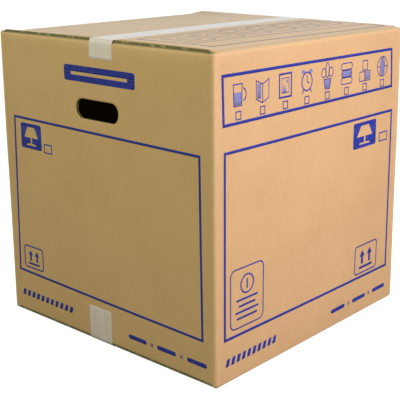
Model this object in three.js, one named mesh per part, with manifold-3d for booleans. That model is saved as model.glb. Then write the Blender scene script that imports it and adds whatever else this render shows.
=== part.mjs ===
// A corrugated moving carton, folded from one sheet of board and closed with two strips of tape.
// Millimetres, +Z up, origin at the centre of the underside. The end panels with the hand holes
// face -Y and +Y. The side panels face -X and +X and carry the outer flaps.
import * as THREE from 'three';
import { mergeVertices } from 'three/addons/utils/BufferGeometryUtils.js';
import Module from 'manifold-3d';

const wasm = await Module();
wasm.setup();

// Driving dimensions of the folded sheet.
const insideWidth = 446; // between the side panels, along X
const insideLength = 446; // between the end panels, along Y
const insideHeight = 450; // between the inner flaps, along Z
const board = 4; // thickness of the corrugated board
const creaseRadius = 0.6; // inner radius of a crease
const cornerRadius = 4; // outer radius of an upright corner
const lapGap = 0.3; // air between an inner and an outer flap
const outerSeam = 1.5; // gap where the two outer flaps meet
const innerSeam = 2.5; // gap where the two inner flaps meet
const outerFlapSetback = 4; // outer flap's raw end, back from the end panel's face
const innerFlapSetback = 12.5; // inner flap's raw side, in from the side panel's face
const slotDepth = 3; // a corner slot's floor, past the end panel's crease
const topFoldDrop = 2.5; // top outer flap's crease lies this much under its flat part
const topRampWidth = 11; // and the flap climbs it over this width
const rampRadius = 14; // rounding where the climb ends

// Driving dimensions of the maker's joint, at the rear left corner.
const tabWidth = 35; // glue tab, seen from inside
const tabTaper = 14; // slant of the tab's ends

// Driving dimensions of the hand holes, one in each end panel.
const holeWidth = 91;
const holeHeight = 30;
const holeRadius = 14;
const holeDrop = 101; // from the end panel's top crease down to the hole's centre
const holeShift = 2; // the die cut is this much off the panel's middle, to its left

// Driving dimensions of the tapes.
const tapeThickness = 0.12;
const tapeWidth = 50;
const topTapeShift = 8; // strip's middle along X
const bottomTapeShift = -10;
const topTails = { front: 25, rear: 32 }; // tape on the end panel, below the top crease
const bottomTails = { front: 49, rear: 42 }; // tape on the end panel, above the bottom crease
const tapeBridge = 0.4; // how far the tape stands off the crease it passes
const tapeStandOff = 0.9; // how far it stands off the outer flap's raw end
const tapeLanding = 12; // where it meets the panel, past the crease's centre

// How round things are faceted.
const facetTurn = THREE.MathUtils.degToRad(15); // most that a fold turns from one facet to the next
const curveSegments = 8; // facets of a rounded corner

// Faces and levels that follow from the sizes above.
const middle = board / 2;
const creaseMiddle = creaseRadius + middle;
const creaseOuter = creaseRadius + board;
const sideFace = insideWidth / 2 + board;
const endFace = insideLength / 2 + board;
const underside = tapeThickness;
const innerBottom = underside + board + lapGap;
const innerTop = innerBottom + board + insideHeight + board;
const topFace = innerTop + lapGap + board;
const bottomCrease = innerBottom + creaseOuter; // centre of the end panels' lower crease
const topCrease = innerTop - creaseOuter; // and of their upper one
const slotFloors = { low: innerBottom + slotDepth, high: innerTop - slotDepth };
const endCreases = { low: innerBottom + middle, high: innerTop - middle };
const sideCreases = { low: underside + middle, high: topFace - middle - topFoldDrop };
const outerFlapHalf = endFace - outerFlapSetback;
const innerFlapHalf = sideFace - innerFlapSetback;

// Frames that stand a flat profile up: its plane, then the way it is extruded.
const axisX = new THREE.Vector3(1, 0, 0);
const axisY = new THREE.Vector3(0, 1, 0);
const axisZ = new THREE.Vector3(0, 0, 1);
const alongX = new THREE.Matrix4().makeBasis(axisY, axisZ, axisX);
const alongY = new THREE.Matrix4().makeBasis(axisX, axisZ, axisY.clone().negate());
const alongZ = new THREE.Matrix4();

const point = (x, y) => new THREE.Vector2(x, y);

// A line through the corners, with an arc of the given radius at each inner corner.
function creasedLine(corners, radii) {
  const line = [corners[0].clone()];
  radii.forEach((radius, i) => {
    const corner = corners[i + 1];
    const back = corners[i].clone().sub(corner).normalize();
    const ahead = corners[i + 2].clone().sub(corner).normalize();
    const halfAngle = Math.acos(back.dot(ahead)) / 2;
    const bisector = back.clone().add(ahead).normalize();
    const start = corner.clone().addScaledVector(back, radius / Math.tan(halfAngle));
    const centre = corner.clone().addScaledVector(bisector, radius / Math.sin(halfAngle));
    const turn = (Math.PI - 2 * halfAngle) * Math.sign(ahead.cross(back));
    const steps = Math.ceil(Math.abs(turn) / facetTurn);
    for (let step = 0; step <= steps; step += 1) {
      line.push(start.clone().rotateAround(centre, (turn * step) / steps));
    }
  });
  line.push(corners.at(-1).clone());
  return line;
}

// The line moved sideways by an offset, to its left where the offset is positive.
function offsetLine(line, offset) {
  return line.map((at, i) => {
    const before = at.clone().sub(line[Math.max(i - 1, 0)]).normalize();
    const after = line[Math.min(i + 1, line.length - 1)].clone().sub(at).normalize();
    const [into, out] = [before.lengthSq() ? before : after, after.lengthSq() ? after : before];
    const normal = point(-into.y - out.y, into.x + out.x);
    return at.clone().addScaledVector(normal, offset / (1 + into.dot(out)));
  });
}

// The outline of a sheet that follows the line, between two sideways offsets.
function sheetShape(line, left, right) {
  return new THREE.Shape([...offsetLine(line, left), ...offsetLine(line, right).reverse()]);
}

// A profile extruded evenly about the middle of the frame's third axis, then shifted along it.
function extruded(shape, depth, frame, shift = 0) {
  const geometry = new THREE.ExtrudeGeometry(shape, { depth, bevelEnabled: false, curveSegments });
  return geometry.translate(0, 0, shift - depth / 2).applyMatrix4(frame);
}

// The closed solid of a geometry, for joining and cutting.
function solidOf(geometry) {
  geometry.deleteAttribute('normal');
  geometry.deleteAttribute('uv');
  const merged = mergeVertices(geometry, 1e-4);
  return new wasm.Manifold(new wasm.Mesh({
    numProp: 3,
    vertProperties: Float32Array.from(merged.attributes.position.array),
    triVerts: Uint32Array.from(merged.index.array),
  }));
}

// The geometry of a solid, with flat faces.
function geometryOf(solid) {
  const mesh = solid.getMesh();
  const geometry = new THREE.BufferGeometry();
  geometry.setAttribute('position', new THREE.BufferAttribute(mesh.vertProperties, 3));
  geometry.setIndex(new THREE.BufferAttribute(mesh.triVerts, 1));
  const flat = geometry.toNonIndexed();
  flat.computeVertexNormals();
  return flat;
}

// The upright walls in plan: three folded corners, and the lapped maker's joint at the rear left,
// where the end panel turns in behind the raw edge of the side panel and ends in the glue tab.
function wallOutline() {
  const round = cornerRadius;
  const turn = board;
  const outline = new THREE.Shape();
  outline.moveTo(-sideFace + round, -endFace);
  outline.absarc(sideFace - round, -endFace + round, round, -Math.PI / 2, 0);
  outline.absarc(sideFace - round, endFace - round, round, 0, Math.PI / 2);
  outline.absarc(-sideFace + board + turn, endFace - turn, turn, Math.PI / 2, Math.PI);
  outline.lineTo(-sideFace, endFace - turn);
  outline.absarc(-sideFace + round, -endFace + round, round, Math.PI, 1.5 * Math.PI);
  return outline;
}

// The room inside the walls, in plan. The board is crushed to a sharp corner there, and the glue
// tab's root stands in the corner of the maker's joint.
function roomOutline() {
  const [x, y] = [insideWidth / 2, insideLength / 2];
  return new THREE.Shape([
    point(-x, -y),
    point(-x, y - board),
    point(-x + board, y - board),
    point(-x + board, y),
    point(x, y),
    point(x, -y),
  ]);
}

// A block that spans the inner flaps, past one crease of the end panels.
function flapBlock(crease, way) {
  const reach = endFace + board;
  const shape = new THREE.Shape([
    point(-reach, crease),
    point(reach, crease),
    point(reach, crease + way * endFace),
    point(-reach, crease + way * endFace),
  ]);
  return solidOf(extruded(shape, 2 * innerFlapHalf, alongX));
}

// The walls between the creases. At the corners, beside the inner flaps, they end in the slots.
function uprightWalls() {
  const height = slotFloors.high - slotFloors.low;
  const centre = slotFloors.low + height / 2;
  const block = solidOf(extruded(wallOutline(), height, alongZ, centre));
  const room = solidOf(extruded(roomOutline(), height + board, alongZ, centre));
  const walls = block.subtract(room);
  return walls.subtract(flapBlock(topCrease, 1)).subtract(flapBlock(bottomCrease, -1));
}

// The glue tab inside the lapping side panel, with slanted ends. Its root and its glued face reach
// half way into the board that they join.
function glueTab() {
  const root = insideLength / 2 + middle;
  const tip = insideLength / 2 - tabWidth;
  const shape = new THREE.Shape([
    point(root, bottomCrease),
    point(root, topCrease),
    point(tip, topCrease - tabTaper),
    point(tip, bottomCrease + tabTaper),
  ]);
  const depth = board + middle;
  return solidOf(extruded(shape, depth, alongX, -insideWidth / 2 + board - depth / 2));
}

// An end panel with its two inner flaps, seen from the side as one creased line.
function endSheet(way) {
  const wall = way * (endFace - middle);
  const seam = (way * innerSeam) / 2;
  const line = creasedLine([
    point(seam, endCreases.low),
    point(wall, endCreases.low),
    point(wall, endCreases.high),
    point(seam, endCreases.high),
  ], [creaseMiddle, creaseMiddle]);
  return solidOf(extruded(sheetShape(line, middle, -middle), 2 * innerFlapHalf, alongX));
}

// A side panel with its two outer flaps. The top one climbs onto the inner flaps past its crease.
function sideSheet(way) {
  const wall = way * (sideFace - middle);
  const seam = (way * outerSeam) / 2;
  const line = creasedLine([
    point(seam, sideCreases.low),
    point(wall, sideCreases.low),
    point(wall, sideCreases.high),
    point(wall - way * topRampWidth, topFace - middle),
    point(seam, topFace - middle),
  ], [creaseMiddle, creaseMiddle, rampRadius]);
  return solidOf(extruded(sheetShape(line, middle, -middle), 2 * outerFlapHalf, alongY));
}

// A hand hole's cutter, through one end panel.
function handHole(way) {
  const [x, z, round] = [holeWidth / 2, holeHeight / 2, holeRadius];
  const shape = new THREE.Shape();
  shape.moveTo(-x + round, -z);
  shape.absarc(x - round, -z + round, round, -Math.PI / 2, 0);
  shape.absarc(x - round, z - round, round, 0, Math.PI / 2);
  shape.absarc(-x + round, z - round, round, Math.PI / 2, Math.PI);
  shape.absarc(-x + round, -z + round, round, Math.PI, 1.5 * Math.PI);
  const cutter = extruded(shape, 3 * board, alongY, -way * (endFace - middle));
  return solidOf(cutter.translate(way * holeShift, 0, innerTop - holeDrop));
}

function cartonGeometry() {
  const sheets = [endSheet(1), endSheet(-1), sideSheet(1), sideSheet(-1), glueTab()];
  const folded = sheets.reduce((whole, sheet) => whole.add(sheet), uprightWalls());
  return geometryOf(folded.subtract(handHole(1)).subtract(handHole(-1)));
}

// The inner face of a tape at one end panel, from its tail to the lip over the outer flap. Out is
// measured from the carton's middle, and height is past the centre of the end panel's crease.
function tapeEnd(tail) {
  const creaseOut = endFace - creaseOuter;
  const radius = creaseOuter + tapeBridge;
  const lip = point(outerFlapHalf + tapeStandOff - creaseOut, creaseOuter + lapGap + board);
  const slant = Math.atan2(lip.y, lip.x) - Math.acos(radius / lip.length());
  return {
    corners: [
      { out: endFace, height: creaseOuter - tail },
      { out: endFace, height: -tapeLanding },
      { out: endFace + tapeBridge, height: -tapeLanding / 2 },
      { out: endFace + tapeBridge, height: radius * Math.tan(slant / 2) },
      { out: creaseOut + lip.x, height: lip.y },
    ],
    radii: [tapeLanding, tapeLanding, radius, tapeStandOff],
  };
}

// A strip of tape over a seam and round both end panels. Way is 1 on top and -1 underneath.
function tapeGeometry(creaseLevel, way, tails, shift) {
  const front = tapeEnd(tails.front);
  const rear = tapeEnd(tails.rear);
  const place = (side) => ({ out, height }) => point(side * out, creaseLevel + way * height);
  const corners = [...front.corners.map(place(-1)), ...rear.corners.map(place(1)).reverse()];
  const line = creasedLine(corners, [...front.radii, ...rear.radii.reverse()]);
  return extruded(sheetShape(line, way * tapeThickness, 0), tapeWidth, alongX, shift);
}

const boardMaterial = new THREE.MeshStandardMaterial({ color: 0xd2ab78, roughness: 0.85, metalness: 0 });
const tapeMaterial = new THREE.MeshStandardMaterial({ color: 0xd9cdb6, roughness: 0.25, metalness: 0 });

function piece(name, geometry, material) {
  const mesh = new THREE.Mesh(geometry, material);
  mesh.name = name;
  return mesh;
}

const model = new THREE.Group();
model.add(piece('carton', cartonGeometry(), boardMaterial));
model.add(piece('top_tape', tapeGeometry(topCrease, 1, topTails, topTapeShift), tapeMaterial));
model.add(piece('bottom_tape', tapeGeometry(bottomCrease, -1, bottomTails, bottomTapeShift), tapeMaterial));

export default model;
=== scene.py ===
# %% [markdown]
# # A cube moving carton, dressed over its CAD frame
# The carton is one sheet of corrugated board, cut flat, creased, folded up and glued at one corner.
# A strip of clear packing tape closes the top and another the bottom. The CAD part says where every
# face lies, so this script only has to give each of them the surface a real one shows.

import math

import bpy
import numpy as np
from mathutils import Matrix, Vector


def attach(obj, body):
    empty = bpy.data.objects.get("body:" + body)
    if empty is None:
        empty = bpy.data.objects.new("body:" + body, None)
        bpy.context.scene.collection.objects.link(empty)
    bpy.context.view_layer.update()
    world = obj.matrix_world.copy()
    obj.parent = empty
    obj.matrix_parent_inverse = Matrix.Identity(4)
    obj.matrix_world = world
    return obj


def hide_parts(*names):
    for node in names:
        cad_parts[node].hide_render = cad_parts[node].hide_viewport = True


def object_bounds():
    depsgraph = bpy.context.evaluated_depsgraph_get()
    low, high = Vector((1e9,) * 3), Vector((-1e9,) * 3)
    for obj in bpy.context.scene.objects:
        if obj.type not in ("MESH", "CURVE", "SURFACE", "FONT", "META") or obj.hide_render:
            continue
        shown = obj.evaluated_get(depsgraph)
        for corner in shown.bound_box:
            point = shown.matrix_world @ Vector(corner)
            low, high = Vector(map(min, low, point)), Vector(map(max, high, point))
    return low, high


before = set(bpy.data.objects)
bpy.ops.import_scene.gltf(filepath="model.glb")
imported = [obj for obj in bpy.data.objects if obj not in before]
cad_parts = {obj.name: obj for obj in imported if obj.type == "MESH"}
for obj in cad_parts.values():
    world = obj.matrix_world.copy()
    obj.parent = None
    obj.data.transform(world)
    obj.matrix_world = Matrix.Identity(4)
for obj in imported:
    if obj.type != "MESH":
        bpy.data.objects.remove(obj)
cad_low, cad_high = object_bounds()
MM = 0.001


def mm(*values):
    """Values in millimetres as metres."""
    return tuple(v * MM for v in values)


cad_size = [round((b - a) / MM, 1) for a, b in zip(cad_low, cad_high)]
print("nodes", sorted(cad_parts), "size mm", cad_size)

# %% [markdown]
# ## The camera
# The photograph looks down a little on the corner between the hand hole panel and its neighbour.
# A camera could be aimed at the carton's middle, but the picture is a crop: its vanishing point is
# off centre. So the camera keeps its true place and a small lens shift moves the picture instead.

# %% Place the camera
camera_place = (1.0190, -1.0991, 0.6207)
azimuth, elevation, roll = np.radians([-49.855, 13.918, 0.139])
level = np.array([-math.sin(azimuth), math.cos(azimuth), 0.0])
back = math.cos(elevation) * np.array([math.cos(azimuth), math.sin(azimuth), 0.0])
back[2] = math.sin(elevation)
upward = np.cross(back, level)
right = math.cos(roll) * level + math.sin(roll) * upward
above = -math.sin(roll) * level + math.cos(roll) * upward
lens = bpy.data.cameras.new("camera")
lens.sensor_width = 36
lens.lens = 84.18
lens.shift_x, lens.shift_y = -0.1199, -0.1012
lens.clip_end = 50
camera = bpy.data.objects.new("camera", lens)
bpy.context.scene.collection.objects.link(camera)
turned = np.eye(4)
turned[:3, 0], turned[:3, 1], turned[:3, 2], turned[:3, 3] = right, above, back, camera_place
camera.matrix_world = Matrix(turned.tolist())
bpy.context.scene.camera = camera
print("camera at", camera_place, "looking down", round(math.degrees(elevation), 1), "degrees")

# %% [markdown]
# ## Following a fold
# Both the carton's outline seen from above and the way its flaps bend over are the same thing: a line
# that runs straight, bends on a small radius, and runs straight again. Bends could be rounded later
# with a Bevel modifier, but board keeps its length when it is folded, so it is truer, and simpler to
# print on, to walk along the line and ask where each step ends up.


# %% A line of straight runs and bends
def folded(start, heading, runs, steps):
    """Points, outward normals and headings along a line that starts at start and is made of runs.

    Each run is (length, turn). Within a run of turn 0 a point is start + s (cos h, sin h); in a bend of
    curvature k = turn / length it is start + (sin(h + k s) - sin h, cos h - cos(h + k s)) / k. The
    normal is the direction of travel turned a quarter to the right.
    """
    points = np.zeros((len(steps), 2))
    headings = np.zeros(len(steps))
    place, begin = np.array(start, float), 0.0
    for number, (length, turn) in enumerate(runs):
        last = number == len(runs) - 1
        here = (steps >= begin - 1e-9) & ((steps <= begin + length + 1e-9) | last)
        s, k = steps[here] - begin, turn / length
        if turn:
            sine, cosine = math.sin(heading), math.cos(heading)
            bend = heading + k * s
            points[here] = place + np.stack([np.sin(bend) - sine, cosine - np.cos(bend)], -1) / k
            bend = heading + turn
            place = place + np.array([math.sin(bend) - sine, cosine - math.cos(bend)]) / k
        else:
            points[here] = place + s[:, None] * [math.cos(heading), math.sin(heading)]
            place = place + length * np.array([math.cos(heading), math.sin(heading)])
        headings[here] = heading + k * s
        heading, begin = heading + turn, begin + length
    return points, np.stack([np.sin(headings), -np.cos(headings)], -1), headings


def stepped(stops, cells):
    """Places between the stops, with that many equal cells in each gap."""
    gaps = [np.linspace(a, b, n, endpoint=False) for a, b, n in zip(stops[:-1], stops[1:], cells)]
    return np.concatenate(gaps + [[stops[-1]]])


# %% [markdown]
# ## The board's two directions
# Seen flat, the blank is a wide rectangle: four panels side by side, a glue tab, and a flap above and
# below each panel, with a slot between neighbours. One direction runs round the carton, the other from
# the tip of a bottom flap up the wall to the tip of the top flap. Two kinds of panel alternate: the end
# panels with the hand holes, whose flaps fold in first, and the side panels, whose flaps lie outside.

# %% Round the carton: left, front, right, rear, glue tab
# All along the middle of the board's thickness: each panel lies at middle from the carton's centre, and
# the corners turn on a small radius. The sheet begins at raw_edge on the left panel, and its glue tab
# turns in at tab_fold on the rear one. An end panel's flaps are cut off at flap_half.
board = 4 * MM
middle = 225 * MM
corner = 2.4 * MM
quarter = math.pi / 2
straight = middle - corner
hole_half = np.array([45.5, 15]) * MM
hole_round = 14 * MM
hole_level = 363.9 * MM
hole_shift = -0.7 * MM
beside_hole = 10 * MM
raw_edge = 222.8 * MM
tab_fold = 218.6 * MM
tab_corner = 2.3 * MM
tab_width = 34.7 * MM

bend, panel = (corner * quarter, quarter), (2 * straight, 0)
runs_round = [(raw_edge + straight, 0), bend, panel, bend, panel, bend, (straight + tab_fold, 0)]
runs_round += [(tab_corner * quarter, quarter), (tab_width, 0)]
ends = np.concatenate([[0], np.cumsum([length for length, turn in runs_round])])
flap_half = 214.5 * MM


def end_stops(start):
    """Column stops of an end panel that starts there, with fine cells beside its hand hole."""
    panel_middle = start + straight
    hole_middle = panel_middle + hole_shift
    return [
        panel_middle - flap_half,
        hole_middle - hole_half[0] - beside_hole,
        hole_middle - hole_half[0],
        hole_middle + hole_half[0],
        hole_middle + hole_half[0] + beside_hole,
        panel_middle + flap_half,
    ]


stops_round = [*ends[:3], *end_stops(ends[2]), *ends[3:7], *end_stops(ends[6]), *ends[7:]]
end_cells = [2, 14, 4, 38, 4, 14, 2]
cells_round = [38, 4, *end_cells, 4, 38, 4, *end_cells, 4, 4]
round_steps = stepped(stops_round, cells_round)
plan, plan_normal, plan_heading = folded((-middle, raw_edge), -quarter, runs_round, round_steps)
print("columns", len(round_steps), "blank", round(1000 * ends[-1]), "mm round")

# %% Up the carton: bottom flap, crease, wall, crease, top flap
crease = 2.6 * MM
ramp_turn = 0.42586
ramp_length = 14 * MM * ramp_turn
fold = (crease * quarter, quarter)
ramp = [(ramp_length, -ramp_turn), (ramp_length, ramp_turn)]
end_flap, end_wall, side_flap, side_wall, side_rest = mm(221.15, 448.8, 221.65, 454.9, 210.08)
end_runs = [(end_flap, 0), fold, (end_wall, 0), fold, (end_flap, 0)]
side_runs = [(side_flap, 0), fold, (side_wall, 0), fold, *ramp, (side_rest, 0)]

# Row stops in mm along the sheet: tip, crease and slot below the wall, then slot, crease, ramp and tip.
# The wall's own stops are heights above the floor, so each kind of panel adds its offset to them.
by_hole = hole_level / MM + np.array([-25, -15, 15, 25])
wall_levels = np.array([9.02, 60, *by_hole, 457.82])
end_low, end_offset, end_high = [0, 221.15, 224.308], 216.214, [674.960, 678.118, 689.688, 899.268]
side_low, side_offset, side_high = [0, 221.65, 228.434], 221.014, [680.434, 684.718, 696.645, 906.725]
up_cells = [18, 5, 1, 5, 24, 4, 12, 4, 7, 1, 5, 6, 19]
end_up = stepped(np.concatenate([end_low, end_offset + wall_levels, end_high]) * MM, up_cells)
side_up = stepped(np.concatenate([side_low, side_offset + wall_levels, side_high]) * MM, up_cells)
end_line, _, end_heading = folded(mm(-223.75, 6.42), 0.0, end_runs, end_up)
side_line, _, side_heading = folded(mm(-224.25, 2.12), 0.0, side_runs, side_up)
print("rows", len(end_up), "top of the outer flaps", round(1000 * side_line[-1, 1], 2), "mm")

# %% [markdown]
# ## A carton is never quite flat
# Packed board bellies out a little between its edges, its flaps spring up, and its edges wander by
# fractions of a millimetre. A lattice or a cloth simulation could do that. Here one smooth rule moves
# every point, of board, tape and print alike, so what lies on the board still lies on it afterwards.


# %% The rule that relaxes every piece
def eased(values, start, stop):
    """0 at start, 1 at stop, and t squared (3 - 2t) between them."""
    t = np.clip((values - start) / (stop - start), 0, 1)
    return t * t * (3 - 2 * t)


box_half, box_top, raw_end = 0.227, 0.467, 0.2275
side_belly, end_belly, dome = 1.4, 1.2, 0.8
wall_wander, top_wander = 0.25, 0.22
left_drop, right_drop, spring = 3.8, 2.0, 3.4


def relaxed(points):
    """Points moved by a smooth field: its sizes above are in metres, its amplitudes in millimetres.

    A wall point goes outwards by its belly times cosine across the panel times sine up the panel, which
    fades inwards with the seventh power of its distance from the middle; the top domes in its middle;
    and slow sines add a wander. Between the end panels the left flap drops towards its crease, and the
    right one just before it. The corner that the front and the right panel share springs up, and that
    fades out along both top edges.
    """
    x, y, z = points[..., 0], points[..., 1], points[..., 2]
    out_x, out_y = x / box_half, y / box_half
    across_x, across_y = np.cos(np.pi * out_x / 2), np.cos(np.pi * out_y / 2)
    rise = np.clip(z / box_top, 0, 1)
    belly = np.sin(np.pi * rise) ** 0.8
    slow_x, slow_y = np.sin(17 * y + 9 * z + 1), np.sin(15 * x - 11 * z + 2)
    push_x = out_x**7 * belly * (side_belly * across_y + wall_wander * slow_x)
    push_y = out_y**7 * belly * (end_belly * across_x + wall_wander * slow_y)
    lift = across_y * (dome * across_x + top_wander * np.sin(13 * x + 7 * y))
    left_sag = left_drop * eased(-x, 0.02, 0.213) * (0.72 + 0.28 * eased(-x, raw_end, 0.213))
    right_sag = right_drop * eased(x, 0.16, 0.213) * eased(x, raw_end, 0.213)
    lift = rise**9 * (lift - (left_sag + right_sag) * eased(np.abs(y), raw_end, 0.2))
    near_corner = np.clip(0.5 + 0.5 * out_x, 0, 1) * np.clip(0.6 - 0.4 * out_y, 0, 1)
    lift = lift + spring * rise**20 * near_corner
    return points + MM * np.stack([push_x, push_y, lift], -1)


# %% [markdown]
# ## From two grids to a closed sheet
# A sheet has an outer face, an inner face and a cut edge all round, also round every hole in it. A
# Solidify modifier would add the wall, but the cut edge needs its own coordinates so that the flutes
# can be drawn on it. So the two faces are grids, and every border between a cell that is kept and one
# that is cut away gets a strip of its own.


# %% Close a sheet between its two faces
def slab(outer, inner, kept=None, flat=None):
    """Vertices, quads, kinds and UVs of a closed sheet between two grids of points.

    Kind 0 is the outer face, 1 the inner face, 2 a cut that runs round the blank and so crosses the
    flutes, 3 a cut along them. A strip's UV is the distance along the cut and the depth into it.
    """
    n, m = outer.shape[:2]
    kept = np.ones((n - 1, m - 1), bool) if kept is None else kept
    flat = outer[..., :2] if flat is None else flat
    number = np.arange(n * m).reshape(n, m)
    a, b, c, d = number[:-1, :-1], number[1:, :-1], number[1:, 1:], number[:-1, 1:]
    face = np.stack([a, b, c, d], -1)[kept]
    around = np.pad(kept, 1)
    sides = (
        (a, b, around[1:-1, :-2]),
        (b, c, around[2:, 1:-1]),
        (c, d, around[1:-1, 2:]),
        (d, a, around[:-2, 1:-1]),
    )
    first = np.concatenate([p[kept & ~beside] for p, q, beside in sides])
    second = np.concatenate([q[kept & ~beside] for p, q, beside in sides])
    rim = np.stack([second, first, first + n * m, second + n * m], -1)
    quads = np.concatenate([face, face[:, ::-1] + n * m, rim])
    sheet_uv = flat.reshape(-1, 2)
    face_uv = np.concatenate([sheet_uv[face], sheet_uv[face[:, ::-1]]])
    step = np.abs(sheet_uv[second] - sheet_uv[first])
    crosses = step[:, 0] > 0.6 * step[:, 1]
    rim_uv = sheet_uv[rim % (n * m)]
    along = np.where(crosses[:, None], rim_uv[..., 0], rim_uv[..., 1])
    depth = np.broadcast_to(np.array([1.0, 1.0, 0.0, 0.0]) * board, along.shape)
    uv = np.concatenate([face_uv, np.stack([along, depth], -1)])
    kinds = np.concatenate([np.repeat([0, 1], len(face)), np.where(crosses, 2, 3)])
    return np.concatenate([outer.reshape(-1, 3), inner.reshape(-1, 3)]), quads, kinds, uv


# %% Put finished arrays into one object
def shown(name, parts, materials, node=None, masks=None):
    """One mesh object from a list of (vertices, quads, kinds, uvs); masks are values per vertex."""
    shift = np.cumsum([0] + [len(part[0]) for part in parts[:-1]])
    points = relaxed(np.concatenate([part[0] for part in parts]))
    quads = np.concatenate([part[1] + s for part, s in zip(parts, shift)])
    kinds = np.concatenate([part[2] for part in parts])
    uv = np.concatenate([part[3] for part in parts])
    used, packed = np.unique(quads, return_inverse=True)
    mesh = bpy.data.meshes.new(name)
    mesh.from_pydata(points[used].tolist(), [], packed.reshape(quads.shape).tolist())
    layer = mesh.uv_layers.new(name="sheet")
    layer.data.foreach_set("uv", uv.astype(np.float32).ravel())
    for key, values in (masks or {}).items():
        field = mesh.attributes.new(key, "FLOAT", "POINT")
        field.data.foreach_set("value", values[used].astype(np.float32))
    for material in materials:
        mesh.materials.append(material)
    slots = np.minimum(kinds, len(materials) - 1).astype(np.int32)
    mesh.polygons.foreach_set("material_index", slots)
    mesh.polygons.foreach_set("use_smooth", kinds < 2)
    mesh.update()
    piece = bpy.data.objects.new(name, mesh)
    bpy.context.scene.collection.objects.link(piece)
    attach(piece, "root")
    if node:
        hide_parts(node)
    print(name, len(mesh.polygons), "faces")


# %% [markdown]
# ## Node groups that the finishes share
# Kraft paper shows long pulp fibres, cloudy patches and small dark and light specks. The board, its cut
# edges and the ink printed on it all need them, so they are one node group, placed in each material
# with its own values. It reads Object coordinates, so the pattern is fixed to the carton in metres.


# %% Small helpers for node trees
def tuned(node, **values):
    """Sets sockets by name, with _ for each space."""
    for key, value in values.items():
        node.inputs[key.replace("_", " ")].default_value = value


def feed(tree, socket, value):
    """Links the socket to a value that is a socket too, or sets it to a plain one."""
    if isinstance(value, bpy.types.NodeSocket):
        tree.links.new(value, socket)
    else:
        socket.default_value = value


def maths(tree, operation, *values, clamp=False):
    """The output of a Math node whose inputs are sockets or numbers."""
    node = tree.nodes.new("ShaderNodeMath")
    node.operation, node.use_clamp = operation, clamp
    for socket, value in zip(node.inputs, values):
        feed(tree, socket, value)
    return node.outputs[0]


def blend_colours(tree, factor, first, second):
    """The colour output of a Mix node, from sockets or plain values."""
    node = tree.nodes.new("ShaderNodeMix")
    node.data_type = "RGBA"
    for number, value in ((0, factor), (6, first), (7, second)):
        feed(tree, node.inputs[number], value)
    return node.outputs[2]


def noise(tree, vector, scale, **values):
    """The factor of a Noise Texture read at a vector; the scale is a socket or a number."""
    node = tree.nodes.new("ShaderNodeTexNoise")
    tuned(node, **values)
    tree.links.new(vector, node.inputs["Vector"])
    feed(tree, node.inputs["Scale"], scale)
    return node.outputs[0]


def stretched(tree, vector, scale):
    """A vector socket with each axis multiplied by its own number."""
    node = tree.nodes.new("ShaderNodeMapping")
    tuned(node, Scale=scale)
    tree.links.new(vector, node.inputs["Vector"])
    return node.outputs[0]


def linear(red, green, blue):
    """A colour given as 0 to 255 screen values, as the scene-linear colour that nodes use."""
    screen = np.array([red, green, blue]) / 255
    light = np.where(screen <= 0.04045, screen / 12.92, ((screen + 0.055) / 1.055) ** 2.4)
    return (*light.tolist(), 1.0)


def group(name, inputs, outputs):
    """A new node group with those sockets, and its input and output nodes."""
    tree = bpy.data.node_groups.new(name, "ShaderNodeTree")
    kind = "NodeSocketFloat"
    for key, value in inputs.items():
        socket = tree.interface.new_socket(name=key, in_out="INPUT", socket_type=kind)
        socket.default_value = value
    for key in outputs:
        tree.interface.new_socket(name=key, in_out="OUTPUT", socket_type=kind)
    return tree, tree.nodes.new("NodeGroupInput"), tree.nodes.new("NodeGroupOutput")


# %% Paper grain, for everything made of board
grain_scales = {"Cloud Scale": 9.0, "Fibre Scale": 260.0}
grain, grain_in, grain_out = group("paper_grain", grain_scales, ["Cloud", "Fibre", "Speck"])
spot = grain.nodes.new("ShaderNodeTexCoord").outputs["Object"]
upright = stretched(grain, spot, (1.0, 1.0, 0.22))
cloud = noise(grain, spot, grain_in.outputs["Cloud Scale"], Detail=5.0, Roughness=0.6)
fibre = noise(grain, upright, grain_in.outputs["Fibre Scale"], Detail=4.0, Roughness=0.7)
speck = maths(grain, "SUBTRACT", noise(grain, spot, 620.0, Detail=1.0), 0.68)
speck = maths(grain, "MULTIPLY", speck, 9.0, clamp=True)
for key, value in (("Cloud", cloud), ("Fibre", fibre), ("Speck", speck)):
    grain.links.new(value, grain_out.inputs[key])
print("group", grain.name)


# %% [markdown]
# ## The board's finish
# The liner is brown kraft paper. Over the flutes it shows a faint washboard, upright on the walls,
# because the flutes stand upright there. Where it was creased the paper is stretched and paler. The
# washboard follows the sheet's own UV, which is in metres on the flat blank; the creases come from a
# value that is worked out for each vertex when the blank is folded.


# %% Ways to feed a material
def new_material(name):
    """A material with an empty tree but its shader, and that shader."""
    material = bpy.data.materials.new(name)
    material.use_nodes = True
    return material, material.node_tree, material.node_tree.nodes["Principled BSDF"]


def placed(tree, shared, **values):
    """A shared node group set in a material's tree with its own values."""
    node = tree.nodes.new("ShaderNodeGroup")
    node.node_tree = shared
    tuned(node, **values)
    return node


def on_sheet(tree):
    """The place on the flat sheet, in metres, as a vector socket."""
    node = tree.nodes.new("ShaderNodeUVMap")
    node.uv_map = "sheet"
    return node.outputs[0]


def split(tree, vector):
    """The parts of a vector socket."""
    node = tree.nodes.new("ShaderNodeSeparateXYZ")
    tree.links.new(vector, node.inputs[0])
    return node.outputs


def flute_wave(tree, along):
    """The sine of the flutes: one turn in each pitch."""
    return maths(tree, "SINE", maths(tree, "MULTIPLY", along, 2 * math.pi / flute_pitch))


def bumped(tree, shader, height, distance):
    """Feeds a height into the shader's normal."""
    node = tree.nodes.new("ShaderNodeBump")
    tuned(node, Strength=1.0, Distance=distance)
    tree.links.new(height, node.inputs["Height"])
    tree.links.new(node.outputs[0], shader.inputs["Normal"])


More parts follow.
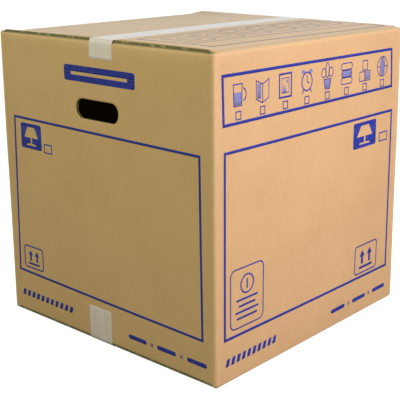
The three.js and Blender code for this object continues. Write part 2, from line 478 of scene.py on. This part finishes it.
flute_pitch = 7.5 * MM
speck_brown = linear(120, 84, 48)
print("flutes every", flute_pitch / MM, "mm")


# %% Paper for the outside and the inside
def paper(name, colour, dark, pale, ribs):
    """Kraft liner: clouds, fibres, specks, worn creases, and the ribs of the flutes below."""
    material, tree, shader = new_material(name)
    look = placed(tree, grain)
    fibres = look.outputs["Fibre"]
    tone = maths(tree, "SUBTRACT", look.outputs["Cloud"], 0.5)
    body = blend_colours(tree, maths(tree, "MULTIPLY_ADD", tone, 1.6, 0.5), dark, colour)
    thread = maths(tree, "SUBTRACT", fibres, 0.5, clamp=True)
    body = blend_colours(tree, maths(tree, "MULTIPLY", thread, 1.5), body, pale)
    specks = maths(tree, "MULTIPLY", look.outputs["Speck"], 0.35)
    body = blend_colours(tree, specks, body, speck_brown)
    worn = tree.nodes.new("ShaderNodeAttribute")
    worn.attribute_name = "crease"
    scuff = maths(tree, "MULTIPLY", worn.outputs["Fac"], fibres)
    body = blend_colours(tree, maths(tree, "MULTIPLY", scuff, 0.7, clamp=True), body, pale)
    tree.links.new(body, shader.inputs["Base Color"])
    wave = flute_wave(tree, split(tree, on_sheet(tree))[0])
    bumped(tree, shader, maths(tree, "ADD", maths(tree, "MULTIPLY", wave, ribs), fibres), 0.2 * MM)
    tuned(shader, Roughness=0.6, Specular_IOR_Level=0.45, Sheen_Weight=0.3, Sheen_Roughness=0.35)
    return material


liner_tones = linear(219, 178, 126), linear(207, 166, 114), linear(230, 194, 146)
lining_tones = linear(176, 138, 94), linear(158, 120, 80), linear(196, 160, 116)
liner = paper("kraft_liner", *liner_tones, 0.18)
lining = paper("kraft_lining", *lining_tones, 0.45)
print("papers", liner.name, lining.name)

# %% [markdown]
# ## The cut edges
# Cut across its flutes, the board shows the medium as a wave between two liners; cut along them, it
# shows a ragged furrow. Modelled flutes would be thousands of faces that nobody sees from a metre away,
# so the material draws them from the strip's own UV: the distance along the cut and the depth into it.
# The hollows between the paper get a darker colour, which is painted shade, not a colour of the board.


# %% Two kinds of cut
def cut_edge(name, flutes):
    """A cut through the board: two liners, the wavy medium or a ragged furrow, and painted shade in the
    hollows.
    """
    material, tree, shader = new_material(name)
    place = on_sheet(tree)
    along, depth = split(tree, place)[:2]
    off_centre = maths(tree, "DIVIDE", maths(tree, "SUBTRACT", depth, board / 2), board / 2)
    skin = maths(tree, "GREATER_THAN", maths(tree, "ABSOLUTE", off_centre), 0.78)
    look = placed(tree, grain)
    if flutes:
        wave = maths(tree, "MULTIPLY", flute_wave(tree, along), 0.8)
        gap = maths(tree, "ABSOLUTE", maths(tree, "SUBTRACT", off_centre, wave))
        medium = maths(tree, "LESS_THAN", gap, 0.3)
    else:
        medium = maths(tree, "GREATER_THAN", noise(tree, place, 90.0, Detail=3.0), 0.56)
    solid = maths(tree, "MAXIMUM", skin, medium)
    fibres = look.outputs["Fibre"]
    body = blend_colours(tree, fibres, linear(152, 146, 110), linear(182, 171, 132))
    # Where there is no paper, the hollows of the flutes get a darker colour: painted shade.
    body = blend_colours(tree, solid, linear(124, 118, 84), body)
    tree.links.new(body, shader.inputs["Base Color"])
    bumped(tree, shader, maths(tree, "ADD", solid, fibres), 0.6 * MM)
    tuned(shader, Roughness=0.85, Specular_IOR_Level=0.2)
    return material


cut_across = cut_edge("cut_across_flutes", True)
cut_along = cut_edge("cut_along_flutes", False)
print("cuts", cut_across.name, cut_along.name)

# %% [markdown]
# ## The ink
# Cartons are printed with rubber plates and thin ink that soaks in. A flat blue would look like paint,
# so the colour drifts with the paper's clouds and tiny pinholes let the fibres through.


# %% Three strengths of blue
def ink(name, colour, thin):
    """Water-based print: it soaks in, so it is matt, and the paper shows through in pinholes."""
    material, tree, shader = new_material(name)
    look = placed(tree, grain, Fibre_Scale=420.0)
    fibres = look.outputs["Fibre"]
    holes = maths(tree, "MULTIPLY", maths(tree, "SUBTRACT", fibres, 0.6), 5.0, clamp=True)
    body = blend_colours(tree, look.outputs["Cloud"], colour, thin)
    body = blend_colours(tree, holes, body, linear(150, 132, 150))
    tree.links.new(body, shader.inputs["Base Color"])
    bumped(tree, shader, fibres, 0.1 * MM)
    tuned(shader, Roughness=0.6, Specular_IOR_Level=0.3)
    return material


blue_ink = ink("blue_ink", linear(24, 32, 122), linear(40, 58, 172))
pale_ink = ink("pale_blue_ink", linear(104, 112, 176), linear(150, 146, 184))
faded_ink = ink("faded_blue_ink", linear(84, 80, 108), linear(116, 108, 122))
print("inks", blue_ink.name, pale_ink.name, faded_ink.name)

# %% [markdown]
# ## The board
# The blank's two directions become a grid. At each crossing the plan line gives the place on the
# floor plan and the height line says how far the sheet has folded inwards and how high it stands. A
# boolean could cut the hand holes and slots, but on a grid it is enough to leave cells out and pull
# the ring of points round each hole onto its rounded outline.

# %% Fold the blank
# side_share grows from 0 at an end flap's cut side to 1 at the corner, so that the two kinds of fold
# meet there. The glue tab's two slants take tab_taper off its height at the tip.
columns, rows = len(round_steps), len(end_up)
tab_taper = 28 / 452
x_plan, y_plan = plan.T
is_end = (np.abs(plan_heading) < 1e-6) | (np.abs(plan_heading - 2 * quarter) < 1e-6)
side_share = np.where(is_end, eased(np.abs(x_plan), flap_half, straight), 1.0)[:, None]
outward = (1 - side_share) * end_line[:, 0] + side_share * side_line[:, 0]
height = (1 - side_share) * end_line[:, 1] + side_share * side_line[:, 1]
turn = (1 - side_share) * end_heading + side_share * side_heading
in_tab = np.clip((round_steps - ends[8]) / (ends[9] - ends[8]), 0, 1)[:, None]
tab_middle = (side_line[:, 1].max() + side_line[:, 1].min()) / 2
height = tab_middle + (height - tab_middle) * (1 - in_tab * tab_taper)
away_x, away_y = plan_normal[:, :1], plan_normal[:, 1:]
x_centre, y_centre = x_plan[:, None] + away_x * outward, y_plan[:, None] + away_y * outward
centre = np.stack([x_centre, y_centre, height], -1)
facing = np.stack([away_x * np.sin(turn), away_y * np.sin(turn), -np.cos(turn)], -1)
print("board grid", columns, "by", rows)


# %% Leave out the slots and the hand holes
def from_outline(across, up):
    """Signed distance of points to a hand hole's rounded outline, and the way straight off it.

    With q the distance past the straight part on each axis, the distance is the length of q, less the
    rounding; inside the straight part it is the larger of the two q.
    """
    q = np.abs(np.stack([across, up], -1)) - (hole_half - hole_round)
    past = np.maximum(q, 0)
    reach = np.linalg.norm(past, axis=-1)
    inside = np.minimum(q.max(-1), 0)
    steep = np.where(q[..., :1] > q[..., 1:], [1.0, 0.0], [0.0, 1.0])
    away = np.where(reach[..., None] > 1e-9, past / np.maximum(reach, 1e-9)[..., None], steep)
    return reach + inside - hole_round, away * np.sign(np.stack([across, up], -1))


slot_rows = np.cumsum(up_cells)[[1, 9]]
lip_rows = 3
row_middle = np.arange(rows - 1)[None, :]
column_middle = (round_steps[1:] + round_steps[:-1]) / 2
x_middle = (x_plan[1:] + x_plan[:-1]) / 2
cell_end = is_end[1:] & is_end[:-1]
side_panel = (column_middle < ends[1]) | ((column_middle > ends[4]) & (column_middle < ends[5]))
has_flap = side_panel | (cell_end & (np.abs(x_middle) < flap_half))
kept = has_flap[:, None] | ((row_middle >= slot_rows[0]) & (row_middle < slot_rows[1]))
curled = ~has_flap & (column_middle < ends[7])
lips = (row_middle >= slot_rows[0] - lip_rows) & (row_middle < slot_rows[1] + lip_rows)
kept |= curled[:, None] & lips

hole_side = np.where(y_plan < 0, -1.0, 1.0)
across = (x_plan + hole_side * hole_shift)[:, None] + np.zeros((1, rows))
up = centre[..., 2] - hole_level
on_end = is_end[:, None] & (np.abs(outward) < 1e-6)
gap, away = from_outline(across, up)
gap_middle = (gap[1:, 1:] + gap[1:, :-1] + gap[:-1, 1:] + gap[:-1, :-1]) / 4
in_wall = cell_end[:, None] & (row_middle > slot_rows[0]) & (row_middle < slot_rows[1])
kept &= ~(in_wall & (gap_middle < 0))
near = np.pad(kept, 1)
corners_kept = near[1:, 1:].astype(int) + near[1:, :-1] + near[:-1, 1:] + near[:-1, :-1]
rim = on_end & (np.abs(gap) < 6 * MM) & (corners_kept > 0) & (corners_kept < 4)
rim &= np.abs(up) < 30 * MM
centre[..., 0] -= np.where(rim, gap * away[..., 0], 0)
centre[..., 2] -= np.where(rim, gap * away[..., 1], 0)
print("cells kept", int(kept.sum()), "of", kept.size, "rim points", int(rim.sum()))

# %% Give the board its two faces and put it in the scene
# The UV takes the side panels' distances wherever the share isn't near 0, also halfway to the corner.
on_side = side_share > 0.25
flat_up = np.where(on_side, side_up[None, :], end_up[None, :])
flat = np.stack(np.broadcast_arrays(round_steps[:, None], flat_up), -1)
flat[..., 0] += np.where(rim, gap * away[..., 0] * hole_side[:, None], 0)
flat[..., 1] -= np.where(rim, gap * away[..., 1], 0)
corner_wear, fold_wear = mm(3.2, 3.0)
crease_columns = np.array([(ends[i] + ends[i + 1]) / 2 for i in (1, 3, 5, 7)])
from_corner = np.abs(round_steps[:, None] - crease_columns[None, :]).min(1)[:, None]
low_fold = np.where(on_side, 223.7, 223.2) * MM
high_fold = np.where(on_side, 682.7, 676.0) * MM
from_fold = np.minimum(np.abs(flat[..., 1] - low_fold), np.abs(flat[..., 1] - high_fold))
worn = np.maximum(np.exp(-((from_corner / corner_wear) ** 2)), np.exp(-((from_fold / fold_wear) ** 2)))
sheet = slab(centre + facing * board / 2, centre - facing * board / 2, kept, flat)
creases = {"crease": np.tile(worn.ravel(), 2)}
finishes = [liner, lining, cut_across, cut_along]
shown("carton_board", [sheet], finishes, "carton", creases)

# %% [markdown]
# ## The tapes
# Clear packing tape is pulled over the seam and pressed down both end panels. It can't follow the
# sharp step from the outer flap down to the end panel, so it bridges it. Its line is walked in the
# same way as the board's folds, and its torn ends get the saw teeth of the dispenser.

# %% The film's finish
def film(name, least_cover):
    """Clear film on milky adhesive: glossy, partly see-through, cloudy where it hasn't wetted out."""
    material, tree, shader = new_material(name)
    drawn_out = stretched(tree, on_sheet(tree), (0.35, 1.4, 1.0))
    bubbles = noise(tree, drawn_out, 48.0, Detail=3.0, Roughness=0.55)
    body = blend_colours(tree, bubbles, linear(252, 232, 226), linear(255, 244, 244))
    tree.links.new(body, shader.inputs["Base Color"])
    cover = maths(tree, "MULTIPLY_ADD", bubbles, 0.16, least_cover)
    tree.links.new(cover, shader.inputs["Alpha"])
    bumped(tree, shader, bubbles, 0.06 * MM)
    tuned(shader, Roughness=0.1, IOR=1.6)
    return material


top_film = film("top_tape_film", 0.74)
bottom_film = film("bottom_tape_film", 0.6)


# %% Lay a strip of tape
# The tape leaves the panel at the angle tape_lead. It turns on the two bends and is straight between.
tape_lead = 0.6632
lower_bend, upper_bend, tape_bridge, tape_out = mm(6.0, 1.6, 3.45, 227.06)
tape_columns, tooth, film_half = 41, 0.6 * MM, 0.05 * MM
sine, cosine = math.sin(tape_lead), math.cos(tape_lead)
lead_in = lower_bend * (1 - cosine) + tape_bridge * sine + upper_bend * cosine
lead_up = lower_bend * sine + tape_bridge * cosine + upper_bend * (1 - sine)


def half_strip(tail, level, side):
    """One end of a strip from its tail on the end panel to the carton's middle: heights and normals.

    It climbs the panel, leans over by the lead angle, bridges the step, turns the rest of the way and
    runs level; the bottom strip is the same line turned upside down.
    """
    climb = abs(level - tail) - lead_up
    line = [
        (climb, 0),
        (lower_bend * tape_lead, tape_lead),
        (tape_bridge, 0),
        (upper_bend * (quarter - tape_lead), quarter - tape_lead),
        (tape_out - lead_in, 0),
    ]
    stops = np.concatenate([[0], np.cumsum([length for length, turn in line])])
    steps = stepped(stops, [max(3, round(climb / (4 * MM))), 5, 2, 5, 24])
    path, normal, _ = folded((tape_out, 0), quarter, line, steps)
    path[:, 1] = tail + side * path[:, 1]
    normal[:, 1] *= side
    return path, normal


def tape_strip(name, node, side, middle_x, width, tails, level, material):
    """A strip along the seam: side is 1 on top and -1 below, and tails are the heights of its ends."""
    front, front_normal = half_strip(tails[0], level, side)
    rear, rear_normal = half_strip(tails[1], level, side)
    mirror = np.array([-1, 1])
    path = np.concatenate([front * mirror, rear[-2::-1]])
    normal = np.concatenate([front_normal * mirror, rear_normal[-2::-1]])
    line, out = (np.insert(pairs, 0, 0, axis=1) for pairs in (path, normal))
    x = middle_x + np.linspace(-width / 2, width / 2, tape_columns)
    run = np.concatenate([[0], np.cumsum(np.linalg.norm(np.diff(line, axis=0), axis=1))])
    teeth = tooth * np.where(np.arange(tape_columns) % 2, 1.0, -1.0)
    grid = np.repeat(line[:, None], tape_columns, 1)
    grid[..., 0] = x
    grid[[0, -1], :, 2] += teeth
    out = film_half * out[:, None]
    across_run = np.stack(np.broadcast_arrays(run[:, None], x[None, :]), -1)
    order = slice(None, None, -1) if side > 0 else slice(None)
    part = slab((grid + out)[:, order], (grid - out)[:, order], None, across_run[:, order])
    shown(name, [part], [material], node)


top_ends, bottom_ends = mm(439, 434), mm(57, 50)
tape_strip("top_tape_strip", "top_tape", 1, *mm(10, 48.5), top_ends, 466.78 * MM, top_film)
tape_strip("bottom_tape_strip", "bottom_tape", -1, *mm(-10, 50), bottom_ends, 0.06 * MM, bottom_film)

# %% [markdown]
# ## Printed marks
# Moving cartons are printed in one dark blue. An image texture would be the quick way, but a print is
# only ink on the surface, so each mark is a paper-thin shape laid on its panel and moved by the same
# rule as the board. Every mark is a stroke along a line or a patch between two lines.


# %% Drawing with strokes
def finer(points, closed, most=9 * MM):
    """The line with points added, so that no step is longer than most."""
    line = np.concatenate([points, points[:1]]) if closed else points
    pieces = []
    for a, b in zip(line[:-1], line[1:]):
        cells = max(1, math.ceil(np.linalg.norm(b - a) / most))
        pieces.append(np.linspace(a, b, cells + 1)[:-1])
    return np.concatenate(pieces + ([] if closed else [line[-1:]]))


def stroke(points, width, closed=False):
    """A ribbon along a line, as a grid of two columns.

    Each point moves sideways by half the width along the mean of its neighbours' normals, divided by
    the cosine of half the bend, which keeps the ribbon as wide round a corner as along a side.
    """
    line = finer(np.array(points, float), closed)
    if closed:
        line = np.concatenate([line[-1:], line, line[:2]])
    step = np.diff(line, axis=0)
    step /= np.linalg.norm(step, axis=1)[:, None]
    sideways = np.stack([-step[:, 1], step[:, 0]], -1)
    if closed:
        mean = sideways[1:] + sideways[:-1]
        line = line[1:-1]
    else:
        doubled = np.concatenate([sideways[:1], sideways, sideways[-1:]])
        mean = doubled[1:] + doubled[:-1]
    mean /= np.maximum((mean**2).sum(1), 1.2)[:, None] / 2
    return np.stack([line - mean * width / 2, line + mean * width / 2], 1)


def through(corners, width, closed=False):
    """A stroke through points given in millimetres; a closed one is a frame."""
    return stroke(np.array(corners) * MM, width, closed)


def box_of(left, low, wide, tall, width):
    """An upright rectangular frame."""
    right, high = left + wide, low + tall
    return stroke([(left, low), (right, low), (right, high), (left, high)], width, True)


def rounded(left, low, wide, tall, radius, width):
    """A rectangular frame with rounded corners: each corner is a quarter circle of points."""
    angle = np.linspace(0, quarter, 5)
    near, size = np.array([left, low]) + radius, np.array([wide, tall]) - 2 * radius
    arcs = []
    for turns, hub in enumerate(((1, 1), (0, 1), (0, 0), (1, 0))):
        here = angle + turns * quarter
        arcs.append(near + hub * size + radius * np.stack([np.cos(here), np.sin(here)], -1))
    return stroke(np.concatenate(arcs), width, True)


def ring(x, y, wide, tall, width, reach=None):
    """An ellipse's outline, or the part of it from the angle -reach to reach."""
    closed = reach is None
    angle = np.linspace(0, 4 * quarter, 28, endpoint=False) if closed else np.linspace(-reach, reach, 12)
    line = np.stack([x + wide / 2 * np.cos(angle), y + tall / 2 * np.sin(angle)], -1)
    return stroke(line, width, closed)


print("frame points", len(box_of(0, 0, 0.4, 0.26, 0.004)))


# %% Drawing with patches
def patch(up, left, right, cells=3):
    """A filled shape as a grid: at each height it runs from left to right."""
    share = np.linspace(0, 1, cells + 1)
    up, left, right = np.broadcast_arrays(*(np.asarray(v, float) for v in (up, left, right)))
    across_here = left[:, None] + (right - left)[:, None] * share
    return np.stack([across_here, np.broadcast_to(up[:, None], across_here.shape)], -1)


def block_edge(up, low, tall, wide, radius):
    """Half a rounded block's width at each height: it narrows along a quarter circle at either end."""
    into_corner = np.maximum(radius - np.minimum(up - low, low + tall - up), 0)
    return wide / 2 - radius + np.sqrt(np.maximum(radius**2 - into_corner**2, 0))


def block(left, low, wide, tall, radius, window=None):
    """A filled rounded block, with a bare shape in it where a window is given.

    The window is a list of (share of the block's height, half width there as a share of its width).
    """
    bend_here = radius * (1 - np.cos(np.linspace(0, quarter, 6)))
    middle_x = left + wide / 2
    cells = max(2, round(wide / MM / 9))
    stops = [(0, 1)] if window is None else [(0, window[0][0]), (window[-1][0], 1)]
    marks_here = []
    for first, last in stops:
        inner = low + tall * np.linspace(first, last, 5)
        up_here = np.concatenate([inner, low + bend_here, low + tall - bend_here])
        up_here = np.unique(up_here.round(7))
        up_here = up_here[(up_here >= inner[0] - 1e-7) & (up_here <= inner[-1] + 1e-7)]
        edge = block_edge(up_here, low, tall, wide, radius)
        marks_here.append(patch(up_here, middle_x - edge, middle_x + edge, cells))
    if window is not None:
        shares, halves = np.array(window).T
        up_here = low + tall * shares
        edge = block_edge(up_here, low, tall, wide, radius)
        marks_here.append(patch(up_here, middle_x - edge, middle_x - halves * wide))
        marks_here.append(patch(up_here, middle_x + halves * wide, middle_x + edge))
    return marks_here


def tapered(x, low, high, low_half, high_half, lean=0.0):
    """A filled shape with straight sides, from one half width to another, leaning sideways by lean."""
    up_here = np.linspace(low, high, 4)
    share = (up_here - low) / (high - low)
    half = low_half + (high_half - low_half) * share
    return patch(up_here, x + lean * share - half, x + lean * share + half)


def dot(x, y, wide, tall):
    """A filled ellipse."""
    angle = np.linspace(-1.4, 1.4, 13)
    half = wide / 2 * np.cos(angle)
    return patch(y + tall / 2 * np.sin(angle), x - half, x + half)


def arrow(x, low, tall, half):
    """An arrow pointing up: a bar, then a head that narrows to a point."""
    neck = low + 0.55 * tall
    bar = tapered(x, low, neck, 0.38 * half, 0.38 * half)
    return [bar, tapered(x, neck, low + tall, half, 0.02 * half)]


print("block grids", [g.shape for g in block(0, 0, 0.05, 0.04, 0.003)])


# %% Laying marks on the panels
def wall_place(side):
    """A function from a mark's (across, up) to points and normals on that wall, as seen from outside."""
    sideways, out = {
        "front": ((1, 0, 0), (0, -1, 0)),
        "right": ((0, 1, 0), (1, 0, 0)),
        "rear": ((-1, 0, 0), (0, 1, 0)),
        "left": ((0, -1, 0), (-1, 0, 0)),
    }[side]
    sideways, out = np.array(sideways, float), np.array(out, float)
    return lambda marks: (
        marks[..., :1] * sideways + marks[..., 1:] * [0, 0, 1] + (middle + board / 2) * out,
        np.broadcast_to(out, (*marks.shape[:2], 3)),
    )


def flap_place(marks):
    """The same for the right outer flap: across is the distance from the seam, up is along the seam.

    The height comes from the fold's own line of the flap's top face, and so does the slope.
    """
    reach = middle + side_line[:, 0] + board / 2 * np.sin(side_heading)
    top = side_line[:, 1] - board / 2 * np.cos(side_heading)
    folded_in = np.flatnonzero(side_heading > 2.5)[::-1]
    z = np.interp(marks[..., 0], reach[folded_in], top[folded_in])
    slope = np.interp(marks[..., 0], reach[folded_in], side_heading[folded_in])
    points = np.stack([marks[..., 0], marks[..., 1], z], -1)
    return points, np.stack([np.sin(slope), np.zeros_like(slope), -np.cos(slope)], -1)


ink_proud, ink_sunk = mm(0.09, 0.05)


def printed(name, place, marks, material):
    """All marks of one panel as one thin piece, a little proud of the board and set a little into it."""
    parts = []
    for mark in marks:
        points, out = place(mark)
        ahead, over = np.diff(points, axis=0)[:, :-1], np.diff(points, axis=1)[:-1]
        if (np.cross(ahead, over) * out[:-1, :-1]).sum() < 0:
            points, out, mark = points[:, ::-1], out[:, ::-1], mark[:, ::-1]
        parts.append(slab(points + ink_proud * out, points - ink_sunk * out, None, mark))
    shown(name, parts, [material], None)


# %% Marks that both kinds of panel carry
thin = 1.3 * MM
lamp_window = [(0.13, 0.24), (0.2, 0.2), (0.2002, 0.035), (0.44, 0.03), (0.4402, 0.34), (0.86, 0.17)]


def upright_panel(left, low, wide, tall):
    """A rounded outline that holds two arrows pointing up over a bar."""
    marks_here = [rounded(left, low, wide, tall, 5 * MM, 2.3 * MM)]
    marks_here.append(patch(low + tall * np.array([0.15, 0.24]), left + 0.2 * wide, left + 0.8 * wide))
    for share in (0.33, 0.67):
        marks_here += arrow(left + share * wide, low + 0.32 * tall, 0.5 * tall, 0.12 * wide)
    return marks_here


def slanted_dashes(left, low, length, tall, count):
    """A row of dashes that lean to the right, each as wide as three fifths of its pitch."""
    pitch = length / count
    middles = left + pitch * (np.arange(count) + 0.4)
    return [tapered(x, low, low + tall, 0.3 * pitch, 0.3 * pitch, 0.3 * tall) for x in middles]


def bars_and_crosses(left, low, length, tall):
    """Three plain bars with a small cross between each two."""
    bar, gap = 0.24 * length, 0.14 * length
    marks_here = []
    for n in range(3):
        start = left + n * (bar + gap)
        marks_here += block(start, low + 0.15 * tall, bar, 0.7 * tall, 0.3 * tall)
        if n < 2:
            x, y, arm = start + bar + gap / 2, low + tall / 2, 0.3 * tall
            for rise in (arm, -arm):
                marks_here.append(stroke([(x - arm, y - rise), (x + arm, y + rise)], thin))
    return marks_here


# %% The print of the hand hole panels
plate_window = [(0.4, 0.4), (0.6, 0.4)]
end_frame = [(-207.2, 73.8), (202.1, 66.6), (200.1, 328.1), (-198.5, 331.3)]
end_marks = [through(end_frame, 3.9 * MM, True)]
end_marks += block(*mm(-71.1, 402.9, 150.8, 23.3, 4), window=plate_window)
end_marks += block(*mm(-184.2, 283.5, 50.7, 40.2, 3.5), window=lamp_window)
end_marks += [box_of(*mm(-127.2, 282.7, 17.7, 13, 1.9))]
end_marks += upright_panel(*mm(-193.1, 82.2, 47.4, 36.3))
end_marks += slanted_dashes(*mm(-205.4, 30.1, 131.3, 10.3), 11)
end_marks += bars_and_crosses(*mm(52.4, 25.1, 157.5, 9.6))
for side in ("front", "rear"):
    printed(side + "_print", wall_place(side), end_marks, blue_ink)

# %% The frames of the side panels
strip_frame = [(-209.5, 369.7), (200.4, 371.9), (197.1, 432.1), (-211.4, 434.7)]
side_frame = [(-208.5, 67.1), (203.8, 63.2), (203.4, 331.5), (-207.4, 332.2)]
label_middle = -161.5
side_marks = [
    through(strip_frame, 4.3 * MM, True),
    through(side_frame, 4.2 * MM, True),
    box_of(*mm(168.5, 285.1, 23.1, 13.8, 2)),
]
side_marks += block(*mm(93.4, 283.5, 64.4, 41.3, 3.5), window=lamp_window)
side_marks += upright_panel(*mm(109.1, 70.6, 63.4, 47.5))
side_marks += slanted_dashes(*mm(-208.5, 26.3, 114.4, 11.4), 10)
side_marks += bars_and_crosses(*mm(45, 23, 157.5, 9.5))
side_marks += [rounded(*mm(-196.5, 77.1, 70.1, 87.3, 9, 2.1))]
for low, wide in ((89, 44), (98, 50), (107, 36), (116, 46)):
    side_marks += block(*mm(label_middle - wide / 2, low, wide, 3.2, 1.4))
side_marks += [ring(*mm(label_middle, 139, 27, 27, 2.4))]
side_marks += [tapered(*mm(label_middle, 132, 146, 1.4, 1.4))]

# %% Plain symbols of household goods in the strip
first_symbol, symbol_pitch, symbol_level = mm(-180.4, 50.2, 407)
tick_level, tick_climb = mm(374.6, 0.13)
enlarged = np.array([1.12, 1.2])


def drawn(number, grids):
    """A symbol's grids, enlarged and moved to its place in the row."""
    return [g * enlarged + [first_symbol + number * symbol_pitch, symbol_level] for g in grids]


def tick_box(number):
    """The box below a symbol; the row of boxes climbs a little, as the print does."""
    x = first_symbol + number * symbol_pitch
    return box_of(x - 5 * MM, tick_level + tick_climb * number, *mm(10, 10.4, 1.6))


mug = (
    [through([(-9, 12), (-8, -12), (6, -12), (7, 12)], thin, True), ring(*mm(8.5, 0, 11, 14, 1.6), 1.5)],
    [tapered(*mm(-1, -11, 3, 6.6, 7.2))],
)
cover = [(-12, -9), (0, -14), (12, -9), (12, 12), (0, 7), (-12, 12)]
book = (
    [through(cover, thin, True), through([(0, -14), (0, 7)], thin)],
    [patch(np.array([-9.0, 8.0]) * MM, *mm(-10, -3))],
)
picture = (
    [box_of(*mm(-12, -13, 24, 27, 2.2)), box_of(*mm(-7, -8, 14, 17, 0.9))],
    [tapered(*mm(-2, -7.5, 1, 4.5, 0.4)), dot(*mm(3.5, 5, 4, 4))],
)
clock = (
    [ring(*mm(0, 0, 22, 22, 1.8)), through([(0, 8), (0, 0), (5, -3)], thin)]
    + [through([(7 * side, -9), (10 * side, -14)], 1.8 * MM) for side in (-1, 1)],
    [dot(*mm(-8, 12, 8, 5)), dot(*mm(8, 12, 8, 5))],
)
plant = (
    [through([(-8, -2), (-5, -14), (5, -14), (8, -2)], thin, True)]
    + [ring(*mm(0, 9, 8, 18, 1.3)), ring(*mm(-8, 6, 10, 11, 1.3)), ring(*mm(8, 6, 10, 11, 1.3))],
    [tapered(*mm(0, -13, -3, 4.6, 6.8))],
)
cushions = (
    [rounded(*mm(x, low, -2 * x, 8, 3.5, 1.3)) for x, low in ((-13, -13), (-12, -4), (-13, 5))],
    block(*mm(-11, -3, 22, 6, 2.5)),
)
boxes = (
    [box_of(*mm(x, low, 12, 12, 1.3)) for x, low in ((-13, -14), (1, -14), (-6, 0))],
    [patch(np.array([-12.5, -3.5]) * MM, *mm(2.5, 11.5))],
)
globe = (
    [ring(*mm(0, 0, 26, 26, 1.4)), ring(*mm(0, 0, 11, 26, 1.1)), through([(-13, 0), (13, 0)], 1.1 * MM)],
    [dot(*mm(0, 0, 9, 23))],
)
symbol_fills = []
symbols = (mug, book, picture, clock, plant, cushions, boxes, globe)
for number, (strokes, fills) in enumerate(symbols):
    side_marks += drawn(number, strokes) + [tick_box(number)]
    symbol_fills += drawn(number, fills)
for side in ("right", "left"):
    printed(side + "_print", wall_place(side), side_marks, blue_ink)
    printed(side + "_symbol_fills", wall_place(side), symbol_fills, pale_ink)

# %% The outlines on the outer flap
flap_frame = [(54, -196), (188, -190), (201, 214), (67, 202)]
flap_marks = [through(flap_frame, 2.6 * MM, True), through([(152, -192), (168, 212)], 2.0 * MM)]
for start in range(-172, 170, 62):
    flap_marks += [rounded(*mm(72, start, 68, 50, 8, 2))]
    flap_marks += [rounded(*mm(90, start + 14, 34, 22, 5, 1.6))]
printed("flap_print", flap_place, flap_marks, faded_ink)

# %% [markdown]
# ## Light, floor and background
# A plain studio: an even white surround, a soft lamp before each wall, the strongest at the right side,
# and a pale floor that keeps the carton's shadow. A sun would light a panel evenly, but a lamp that
# stands near and a little high fades down the panel, as in the photograph. The surround is white for the
# camera and for reflections, and calmer for the light it gives.

# %% Light the carton
scene = bpy.context.scene
scene.view_settings.view_transform = "Standard"
world = bpy.data.worlds.new("studio")
scene.world = world
world.use_nodes = True
sky = world.node_tree
seen = sky.nodes.new("ShaderNodeLightPath")
surround = sky.nodes["Background"]
direct = maths(sky, "MAXIMUM", seen.outputs["Is Camera Ray"], seen.outputs["Is Transmission Ray"])
direct = maths(sky, "MAXIMUM", direct, seen.outputs["Is Glossy Ray"])
white, calm = (1, 1, 1, 1), (0.38, 0.42, 0.35, 1)
sky.links.new(blend_colours(sky, direct, calm, white), surround.inputs["Color"])


def soft_lamp(name, place, aim, power, colour, size):
    """A square lamp at place that shines at aim: its local Z points backwards, from aim to place."""
    lamp = bpy.data.lights.new(name, "AREA")
    lamp.energy, lamp.color, lamp.size = power, colour, size
    shining = bpy.data.objects.new(name, lamp)
    scene.collection.objects.link(shining)
    shining.visible_camera = False
    backwards = np.array(place) - aim
    backwards /= np.linalg.norm(backwards)
    sideways = np.cross([0, 0, 1.0], backwards)
    sideways /= np.linalg.norm(sideways)
    pose = np.eye(4)
    pose[:3, 0], pose[:3, 1] = sideways, np.cross(backwards, sideways)
    pose[:3, 2], pose[:3, 3] = backwards, place
    shining.matrix_world = Matrix(pose.tolist())
    print(name, power, "W at", place)


soft_lamp("side_lamp", (1.15, 0.0, 0.68), (0.227, 0.0, 0.3), 10.5, (0.92, 0.81, 0.93), 0.5)
soft_lamp("front_lamp", (0.05, -1.12, 0.90), (0.0, -0.227, 0.4), 3.7, (0.97, 1.0, 0.65), 0.5)
warm = (1.0, 0.97, 0.85)
soft_lamp("left_lamp", (-1.15, 0.0, 0.28), (-0.227, 0.0, 0.25), 6.0, warm, 0.3)
soft_lamp("rear_lamp", (0.0, 1.15, 0.28), (0.0, 0.227, 0.25), 6.0, warm, 0.3)

# %% Lay the floor
floor_mesh = bpy.data.meshes.new("floor")
floor_mesh.from_pydata([(-9, -9, 0), (9, -9, 0), (9, 9, 0), (-9, 9, 0)], [], [(0, 1, 2, 3)])
floor = bpy.data.objects.new("floor", floor_mesh)
scene.collection.objects.link(floor)
floor_material, floor_tree, floor_shader = new_material("floor")
tuned(floor_shader, Base_Color=(0.3, 0.3, 0.3, 1), Roughness=0.9, Emission_Color=white)
floor_seen = floor_tree.nodes.new("ShaderNodeLightPath")
glow = maths(floor_tree, "MULTIPLY", floor_seen.outputs["Is Camera Ray"], 0.88)
floor_tree.links.new(glow, floor_shader.inputs["Emission Strength"])
floor_mesh.materials.append(floor_material)
